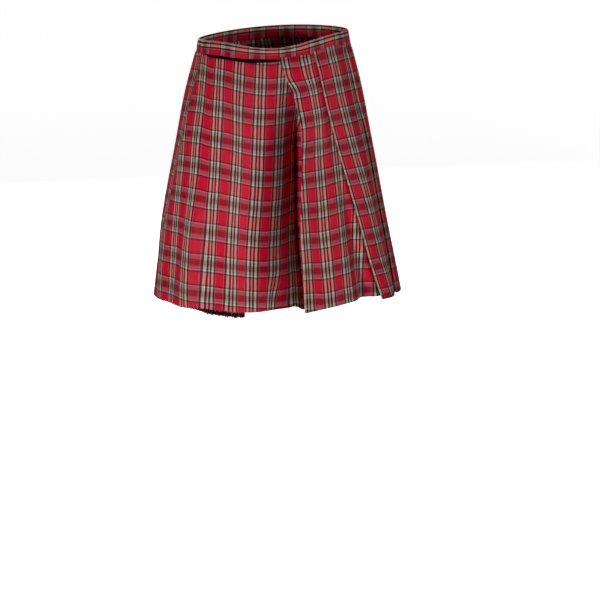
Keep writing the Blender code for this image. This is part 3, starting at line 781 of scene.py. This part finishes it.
def waistband():
    """A strip folded over its stiffener: a swept loop, round at the top, a little full
    between its seams."""
    arcs = np.linspace(UNDER_EDGE_ARC + perimeter(0.0), EDGES[0].apron_end, BAND_POINTS)
    lifts, low = band_lifts(arcs), band_raise(arcs)
    loop = [(share, 1.0) for share in BAND_SIDE_SHARES]
    for degrees in BAND_TOP_ANGLES:
        a = math.radians(degrees)
        loop.append((1 - BAND_TOP_ROUND + BAND_TOP_ROUND * math.cos(a), math.sin(a)))
    loop += [(share, -1.0) for share in BAND_SIDE_SHARES[::-1]] + list(BAND_BOTTOM)
    first, last = BAND_FULL_SHARES
    points, uvs = [], []
    for share, outward in loop:
        height = low + (BAND_HEIGHT - low) * share
        along = min(max((share - first) / (last - first), 0), 1)
        offset = outward * (BAND_WALL / 2 - BAND_SUNK + BAND_FULL * math.sin(math.pi * along))
        points.append(place(arcs, lifts + offset - BAND_FLARE * height / BAND_HEIGHT, 0.0, height))
        over = share * BAND_HEIGHT if outward > 0 else (2 - share) * BAND_HEIGHT
        across = np.full_like(arcs, over + BAND_WARP_PHASE)
        uvs.append(np.stack([across, arcs + BAND_WEFT_PHASE], axis=-1))
    points, uvs = np.array(points), np.array(uvs)
    index = np.arange(len(loop) * len(arcs)).reshape(len(loop), -1)
    after = np.roll(index, -1, axis=0)
    faces = faces_of(index[:, :-1], index[:, 1:], after[:, 1:], after[:, :-1])
    faces += faces_of(index[:, 0], after[:, 0], index.size)
    faces += faces_of(after[:, -1], index[:, -1], index.size + 1)
    points = np.concatenate([points.reshape(-1, 3), points[:, (0, -1)].mean(axis=0)])
    uvs = np.concatenate([uvs.reshape(-1, 2), uvs[:, (0, -1)].mean(axis=0)])
    return add_mesh("waistband_cloth", points, faces, uvs, TARTAN), arcs, lifts, low


def fastening_tape():
    """The black strip inside the front that joins band and over apron."""
    arcs = np.linspace(GAP_ARC_RIGHT, GAP_ARC_LEFT, TAPE_POINTS)
    lifts = TAPE_INNER_LIFT + (TAPE_LIFT - TAPE_INNER_LIFT) * smoothstep(arcs, *TAPE_STEP_ARCS)
    heights = np.linspace(TAPE_TOP, TAPE_TOP - TAPE_HEIGHT, TAPE_ROWS)
    uv = np.stack(np.broadcast_arrays(arcs[None, :], heights[:, None]), axis=-1)
    return shell("fastening_tape_cloth", strip(arcs, lifts, heights), uv, TAPE_WALL, TAPE)


# ---- materials ----
RED = (0.56, 0.0040, 0.032)
DEEP_RED = (0.16, 0.003, 0.008)
BLACK = (0.028, 0.005, 0.003)
CREAM = (0.60, 0.39, 0.30)
LIGHT = (0.56, 0.30, 0.28)
PINK = (0.40, 0.095, 0.125)
GREY = (0.13, 0.12, 0.135)
PALE_PINK = (0.56, 0.17, 0.20)
PALE_GREEN = (0.055, 0.37, 0.265)
MINT = (0.46, 0.64, 0.50)
# what the weft's colours become where they cross the warp's pale lines
ON_PALE = {GREY: PALE_GREEN, PALE_PINK: MINT}
PALE_FROM = 0.2  # a colour of the warp with more green than this is pale

# widths in millimetres; cover is how much of a crossing the yarn takes against the other's
Stripe = namedtuple("Stripe", "width colour cover")
WARP_SIDE = (
    Stripe(1.6, LIGHT, 0.30),
    Stripe(3.7, BLACK, 0.45),
    Stripe(5.0, CREAM, 0.25),
    Stripe(3.4, BLACK, 0.60),
    Stripe(2.2, PINK, 0.25),
)
WARP = (*WARP_SIDE, Stripe(16.2, RED, 0.20), *WARP_SIDE[::-1])
WEFT_SIDE = (
    Stripe(3.3, BLACK, 0.40),
    Stripe(2.6, PALE_PINK, 0.20),
    Stripe(6.6, GREY, 0.15),
    Stripe(4.0, DEEP_RED, 0.20),
    Stripe(1.4, BLACK, 0.50),
)
WEFT = (
    Stripe(8.6, RED, 0.20),
    *WEFT_SIDE, Stripe(2.2, DEEP_RED, 0.20), *WEFT_SIDE[::-1],
    Stripe(14.6, RED, 0.20),
)
WEFT_ON_PALE = tuple(row._replace(colour=ON_PALE.get(row.colour, row.colour)) for row in WEFT)
# in metres
TWILL_PITCH = 0.0022
YARN_PITCH = 0.0011
WANDER = 0.0012
RIB_PITCH = 0.0016
PICK_PITCH = 0.0007
# noise, for each metre
WANDERS = 40.0
STREAKS_ASIDE = 620.0
STREAKS_ALONG = 60.0
FIBRES = 900.0
LINT = 600.0
GRAIN = 1400.0
# in shares
TWILL_SHARE = 0.6  # how far the twill's lines divide a crossing between its yarns
YARN_TONE = 0.55  # how far the yarns differ in tone
FIBRE_TONE = 0.35


class Nodes:
    """A new material, and a short way to write its node tree."""

    def __init__(self, name):
        self.material = bpy.data.materials.new(name)
        self.material.use_nodes = True
        self.tree = self.material.node_tree
        self.shader = self.tree.nodes["Principled BSDF"]

    def add(self, kind, inputs=(), **settings):
        node = self.tree.nodes.new(kind)
        for key, value in settings.items():
            setattr(node, key, value)
        for key, value in dict(inputs).items():
            self.put(value, node.inputs[key])
        return node

    def put(self, value, socket):
        if isinstance(value, bpy.types.NodeSocket):
            self.tree.links.new(value, socket)
        else:
            socket.default_value = value

    def look(self, inputs):
        """Sets the shader's inputs, and hands out the material."""
        for key, value in inputs.items():
            self.put(value, self.shader.inputs[key])
        return self.material

    def math(self, operation, *values, clamp=False):
        return self.add("ShaderNodeMath", enumerate(values), operation=operation, use_clamp=clamp).outputs[0]

    def total(self, *parts):
        """The sum of a number and of values, each given after its weight."""
        base, *weighed = parts
        for weight, value in weighed:
            base = self.math("ADD", self.math("MULTIPLY", value, weight), base)
        return base

    def wave(self, value, pitch):
        """A sine with a whole turn for each pitch."""
        return self.math("SINE", self.math("MULTIPLY", value, 2 * math.pi / pitch))

    def cloth_place(self):
        """The place on the cloth, whole and in its two parts."""
        place_on = self.add("ShaderNodeUVMap", uv_map="cloth").outputs[0]
        split = self.add("ShaderNodeSeparateXYZ", {0: place_on})
        return place_on, split.outputs[0], split.outputs[1]

    def noise(self, at, scale, detail):
        return self.add("ShaderNodeTexNoise", {"Vector": at, "Scale": scale, "Detail": detail}).outputs[0]

    def streaks(self, aside, along):
        """Tones of a yarn's width that run far along it."""
        aside = self.math("MULTIPLY", aside, STREAKS_ASIDE)
        along = self.math("MULTIPLY", along, STREAKS_ALONG)
        return self.noise(self.add("ShaderNodeCombineXYZ", {0: aside, 1: along}).outputs[0], 1.0, 1.0)

    def ramp(self, value, stripes):
        """Colour and cover of the stripes, for a value from 0 to 1."""
        node = self.add("ShaderNodeValToRGB", {0: value})
        ramp = node.color_ramp
        ramp.interpolation = "CONSTANT"
        whole, done = sum(s.width for s in stripes), 0.0
        for i, stripe in enumerate(stripes):
            stop = ramp.elements[0] if i == 0 else ramp.elements.new(done / whole)
            stop.position = done / whole
            stop.color = (*stripe.colour, stripe.cover)
            done += stripe.width
        ramp.elements.remove(ramp.elements[-1])
        return node.outputs["Color"], node.outputs["Alpha"]

    def mix(self, factor, a, b, blend="MIX"):
        node = self.add("ShaderNodeMix", data_type="RGBA", blend_type=blend)
        self.put(factor, node.inputs[0])
        self.put(a, node.inputs[6])
        self.put(b, node.inputs[7])
        return node.outputs[2]

    def toned(self, share, colour, tone):
        """A colour made lighter and darker by a tone, as far as the share says."""
        grey = self.add("ShaderNodeCombineColor", {0: tone, 1: tone, 2: tone}).outputs[0]
        return self.mix(share, colour, self.mix(1.0, colour, grey, "OVERLAY"))

    def bump(self, strength, depth, height):
        inputs = {"Strength": strength, "Distance": depth, "Height": height}
        return self.add("ShaderNodeBump", inputs).outputs[0]


def tartan_material():
    """Red tartan twill. Two yarns of every crossing show side by side along the twill's
    diagonal, so a warp stripe over a weft stripe takes the colour between the two."""
    n = Nodes("red_tartan_twill")
    place_on, u, v = n.cloth_place()
    shift = n.math("MULTIPLY", n.math("SUBTRACT", n.noise(place_on, WANDERS, 2.0), 0.5), WANDER)
    u, v = n.math("ADD", u, shift), n.math("ADD", v, shift)
    up = n.math("FRACT", n.math("DIVIDE", v, SETT_TALL))
    warp, warp_cover = n.ramp(n.math("FRACT", n.math("DIVIDE", u, SETT_WIDE)), WARP)
    weft, weft_cover = n.ramp(up, WEFT)
    weft_on_pale, _ = n.ramp(up, WEFT_ON_PALE)
    twill = n.wave(n.math("ADD", u, v), TWILL_PITCH)
    share = n.math("DIVIDE", weft_cover, n.math("ADD", warp_cover, weft_cover))
    either = n.math("MULTIPLY", share, n.math("SUBTRACT", 1.0, share))
    side = n.math("MULTIPLY", n.math("MULTIPLY", twill, TWILL_SHARE), either)
    share = n.math("ADD", side, share, clamp=True)
    green = n.add("ShaderNodeSeparateColor", {0: warp}).outputs[1]
    weft = n.mix(n.math("GREATER_THAN", green, PALE_FROM), weft, weft_on_pale)
    # each yarn's own tone: streaks along the warp on the warp's colours, along the weft on the weft's
    warp = n.toned(YARN_TONE, warp, n.streaks(u, v))
    weft = n.toned(YARN_TONE, weft, n.streaks(v, u))
    fibres = n.noise(place_on, FIBRES, 3.0)
    height = n.total(0.0, (0.6, twill), (0.25, n.wave(u, YARN_PITCH)), (0.5, fibres))
    return n.look({
        "Base Color": n.toned(FIBRE_TONE, n.mix(share, warp, weft), fibres),
        "Normal": n.bump(0.35, 0.00025, height),
        "Roughness": n.total(0.42, (0.16, fibres)),
        "Specular IOR Level": 0.08,
    })


def tape_material():
    """Black woven tape with a fine rib across it."""
    n = Nodes("black_woven_tape")
    place_on, along, aside = n.cloth_place()
    lint = n.noise(place_on, LINT, 4.0)
    height = n.total(0.0, (0.5, n.wave(along, RIB_PITCH)), (0.25, n.wave(aside, PICK_PITCH)))
    return n.look({
        "Base Color": n.mix(lint, (0.002, 0.001, 0.001, 1), (0.007, 0.004, 0.003, 1)),
        "Normal": n.bump(0.5, 0.0003, height),
        "Roughness": n.total(0.68, (0.2, lint)),
        "Specular IOR Level": 0.06,
    })


def thread_material(name, dark, pale):
    n = Nodes(name)
    grain = n.noise(n.add("ShaderNodeTexCoord").outputs["Object"], GRAIN, 3.0)
    return n.look({
        "Base Color": n.mix(grain, dark, pale),
        "Normal": n.bump(0.5, 0.0002, grain),
        "Roughness": 0.6,
        "Specular IOR Level": 0.06,
    })


TARTAN = tartan_material()
TAPE = tape_material()
BLACK_THREAD = thread_material("black_overlock_thread", (0.004, 0.001, 0.001, 1), (0.030, 0.006, 0.004, 1))
RED_THREAD = thread_material("red_sewing_thread", (0.30, 0.008, 0.015, 1), (0.44, 0.015, 0.028, 1))

# ---- threads ----
THREAD_SIDES = 5
THREAD_END = 0.45  # the share of a thread's thickness that is left at its ends
ASIDE = (0.31, 0.22, 0.93)  # a direction that no thread runs in
STITCH_LONG = 0.0026
STITCH_PITCH = 0.0038
STITCH_LIFT = 0.0003
STITCH_SHARES = (0, 0.2, 0.5, 0.8, 1.0)
STITCH_RISES = (-1.0, 0.4, 0.8, 0.4, -1.0)  # it dips into the cloth at both ends
BAND_STITCH_HEIGHT = 0.0022  # above the band's lower edge
BAND_STITCH_RADIUS = 0.00030
EDGE_STITCH_RADIUS = 0.00026
EDGE_STITCH_COLUMN = -3  # the station of the over apron that its edge's stitches run down
EDGE_STITCH_ROW = 2  # and the row where they start
HEM_LOOP = 0.0014  # from one loop of the overlocking to the next
HEM_LOOP_POINTS = 9
HEM_LOOP_TURN = 1.5 * math.pi
HEM_DEPTH = 0.0125  # how far it covers the hem
HEM_DEPTHS = (0.75, 1.15)  # the least and greatest share of it that a loop covers
HEM_LEANS = (0.2, 0.9)  # and of HEM_LOOP, how far along one loop runs
HEM_BELOW = 0.0009  # how far it reaches below the hem
HEM_OFF = 0.00115  # and off the cloth's middle
HEM_THREAD_RADIUS = 0.00060
LOOSE_SHARE = 0.9  # loose ends for each loop
LOOSE_LONG = (0.0014, 0.0048)
LOOSE_SHARES = (0.0, 0.35, 0.7, 1.0)
THREADS_SEED = 7


def tubes(name, paths, radius, material):
    """One mesh of many short threads. Each path is a row of points."""
    angles = np.linspace(0, 2 * math.pi, THREAD_SIDES, endpoint=False)[:, None]
    points, faces, done = [], [], 0
    for path in paths:
        path = np.asarray(path)
        tangent = unit(np.gradient(path, axis=0))
        first = unit(np.cross(tangent, ASIDE))
        second = np.cross(tangent, first)
        thick = np.full((len(path), 1, 1), radius)
        thick[[0, -1]] *= THREAD_END
        round_it = first[:, None] * np.cos(angles) + second[:, None] * np.sin(angles)
        points.append((path[:, None] + thick * round_it).reshape(-1, 3))
        index = done + np.arange(len(points[-1])).reshape(len(path), -1)
        faces += rings_of(index) + [index[0, ::-1].tolist(), index[-1].tolist()]
        done += index.size
    return add_mesh(name, np.concatenate(points), faces, np.zeros((done, 2)), material)


def read_at(at, run, vectors):
    """Vectors given along a run, read at one place of it or at several."""
    return np.stack([np.interp(at, run, part) for part in vectors.T], axis=-1)


def stitch_row(line, outward):
    """Short running stitches along a line of points, on the side that outward points to."""
    run = run_along(line[None])[0]
    rises = STITCH_LIFT * np.array(STITCH_RISES)[:, None]
    paths = []
    for start in np.arange(STITCH_PITCH / 2, run[-1] - STITCH_PITCH, STITCH_PITCH):
        at = start + STITCH_LONG * np.array(STITCH_SHARES)
        paths.append(read_at(at, run, line) + read_at(at, run, outward) * rises)
    return paths


def grid_normals(points):
    """Unit normals on the right side of a panel."""
    return unit(np.cross(np.gradient(points, axis=1), np.gradient(points, axis=0)))


def band_line(arcs, lifts, low, above):
    """The band's outer side along a line above its lower edge, and the way out there."""
    height = low + above
    middle = lifts - BAND_FLARE * height / BAND_HEIGHT
    line = place(arcs, middle + BAND_WALL / 2, 0.0, height)
    return line, unit(line - place(arcs, middle, 0.0, height))


def edge_line(points):
    """The over apron's right side beside its free edge, and the way out there."""
    outward = grid_normals(points)[EDGE_STITCH_ROW:, EDGE_STITCH_COLUMN]
    return points[EDGE_STITCH_ROW:, EDGE_STITCH_COLUMN] + outward * CLOTH_WALL / 2, outward


def overlocking(points):
    """Loops of thread round the under apron's raw hem, and the loose ends that hang from it."""
    line, outward = points[-1, :UNDER_POINTS], grid_normals(points)[-1, :UNDER_POINTS]
    downward = unit(line - points[-2, :UNDER_POINTS])
    run = run_along(line[None])[0]
    rng = np.random.default_rng(THREADS_SEED)
    turns = int(run[-1] / HEM_LOOP)
    paths = []
    for i in range(turns):
        deep = HEM_DEPTH * rng.uniform(*HEM_DEPTHS)
        lean = HEM_LOOP * rng.uniform(*HEM_LEANS)
        path = []
        for t in np.linspace(0, 1, HEM_LOOP_POINTS):
            centre, out, down = (read_at(i * HEM_LOOP + lean * t, run, v) for v in (line, outward, downward))
            a = (t - 0.5) * HEM_LOOP_TURN
            below = HEM_BELOW - deep * (1 - math.cos(a)) / 2
            path.append(centre + down * below + out * math.sin(a) * HEM_OFF)
        paths.append(path)
    for _ in range(int(turns * LOOSE_SHARE)):
        at = rng.uniform(0, run[-1])
        centre, down = read_at(at, run, line), read_at(at, run, downward)
        side = np.array([rng.uniform(-1, 1), rng.uniform(-0.6, 0.6), 0.0])
        long = rng.uniform(*LOOSE_LONG)
        paths.append([centre + (down * t + side * t * t * 0.5) * long for t in LOOSE_SHARES])
    return paths


# ---- making everything ----
def settle(obj, slot, *nodes):
    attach(obj, "root")
    if nodes:
        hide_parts(*nodes)
    return obj


def declare(obj, width, with_pieces=()):
    list(with_pieces)


band, *band_middle = waistband()
settle(band, "red_tartan", "waistband")
tape = settle(fastening_tape(), "black_tape", "fastening_tape")

Panel = namedtuple("Panel", "node stations across top_shift hem_shift tucked")
right_pleats = pleated_panel((9, 8), after=10)
back_pleats = pleated_panel((7, 6, 5), after=8)
left_pleats = pleated_panel((4, 3, 2), after=5)
PANELS = (
    Panel("under_apron", under_apron, across_under, no_shift, under_hem, False),
    Panel("right_side_pleats", right_pleats, across_pleats, no_shift, no_shift, True),
    Panel("back_pleats", back_pleats, across_pleats, no_shift, no_shift, True),
    Panel("left_side_pleats", left_pleats, across_pleats, no_shift, left_side_hem, True),
    Panel("apron_pleat", apron_pleat, across_side, pleat_1_top, pleat_1_hem, True),
    Panel("over_apron", over_apron, across_over, over_top, over_hem, False),
)
made = {}
for spec in PANELS:
    obj, points, width = panel(spec.node + "_cloth", *spec[1:])
    settle(obj, "red_tartan", spec.node)
    made[spec.node] = (obj, points, width)

rows = stitch_row(*band_line(*band_middle, BAND_STITCH_HEIGHT))
band_stitches = tubes("waistband_topstitching", rows, BAND_STITCH_RADIUS, RED_THREAD)
settle(band_stitches, "red_tartan")
# only the under apron's hem, which shows below the over apron, is raw
loops = overlocking(made["under_apron"][1])
overlock = tubes("under_apron_overlocking", loops, HEM_THREAD_RADIUS, BLACK_THREAD)
settle(overlock, "black_tape")
# the over apron's free edge is turned under and stitched
rows = stitch_row(*edge_line(made["over_apron"][1]))
edge_stitches = tubes("over_apron_edge_stitching", rows, EDGE_STITCH_RADIUS, RED_THREAD)
settle(edge_stitches, "red_tartan")

declare(band, 0.030, with_pieces=(band_stitches,))
declare(tape, GAP_ARC_RIGHT - GAP_ARC_LEFT)
for node, (obj, _, width) in made.items():
    with_pieces = {"under_apron": (overlock,), "over_apron": (edge_stitches,)}.get(node, ())
    declare(obj, width, with_pieces=with_pieces)

# ---- stage ----
FLOOR_HEIGHT = -1.06
FLOOR_RADIUS = 5.6
SWEEP_ROUND = 1.2
WALL_HEIGHT = 6.0
SWEEP_POINTS = 96
EYE_PLACE = (0.056, -4.6, 0.42)
EYE_TILT = 78
SENSOR = 36  # millimetres
FOCAL_LENGTH = 2183 / 600  # for the picture's width


def stage_material():
    n = Nodes("studio_white")
    cloud = n.noise(n.add("ShaderNodeTexCoord").outputs["Object"], 0.8, 2.0)
    return n.look({
        "Base Color": n.mix(cloud, (0.90, 0.90, 0.90, 1), (0.93, 0.93, 0.93, 1)),
        "Roughness": 0.9,
        "Emission Color": (1, 1, 1, 1),
        "Emission Strength": 0.90,
    })


def sweep():
    """A round floor that curves up into a wall all round."""
    profile = [(0.0, 0.0), (FLOOR_RADIUS, 0.0)]
    for a in np.linspace(0.1, math.pi / 2, 12):
        profile.append((FLOOR_RADIUS + SWEEP_ROUND * math.sin(a), SWEEP_ROUND * (1 - math.cos(a))))
    profile.append((FLOOR_RADIUS + SWEEP_ROUND, WALL_HEIGHT))
    radii, heights = np.array(profile).T[..., None]
    turns = np.linspace(0, 2 * math.pi, SWEEP_POINTS, endpoint=False)
    parts = np.broadcast_arrays(radii * np.sin(turns), radii * np.cos(turns), heights + FLOOR_HEIGHT)
    points = np.stack(parts, axis=-1).reshape(-1, 3)
    faces = rings_of(np.arange(len(points)).reshape(len(profile), -1))
    obj = add_mesh("studio_floor", points, faces, np.zeros((len(points), 2)), stage_material())
    obj.visible_diffuse = False
    obj.visible_glossy = False


def area_light(name, where, aim, size, energy, spread=180):
    """A round lamp. spread is the angle of its beam in degrees."""
    light = bpy.data.lights.new(name, "AREA")
    light.shape = "DISK"
    light.size = size
    light.energy = energy
    light.spread = math.radians(spread)
    obj = add_object(name, light)
    obj.location = where
    obj.rotation_euler = (Vector(aim) - Vector(where)).to_track_quat("-Z", "Y").to_euler()


sweep()
area_light("key", (-1.5, -2.8, -0.5), (0.03, 0, -0.40), 1.2, 3.3, spread=24)
area_light("fill", (4.2, -1.2, 0.9), (0, 0, -0.3), 1.2, 75)
area_light("back", (-1.2, 4.2, 1.0), (0, 0, -0.3), 1.6, 120)

world = bpy.data.worlds.new("studio")
bpy.context.scene.world = world
world.use_nodes = True
background = world.node_tree.nodes["Background"].inputs
background["Color"].default_value = (1, 1, 1, 1)
background["Strength"].default_value = 0.05

camera = bpy.data.cameras.new("camera")
camera.sensor_width = SENSOR
camera.lens = SENSOR * FOCAL_LENGTH
eye = add_object("camera", camera)
eye.location = EYE_PLACE
eye.rotation_euler = (math.radians(EYE_TILT), 0, 0)
bpy.context.scene.camera = eye
bpy.context.scene.view_settings.view_transform = "Standard"
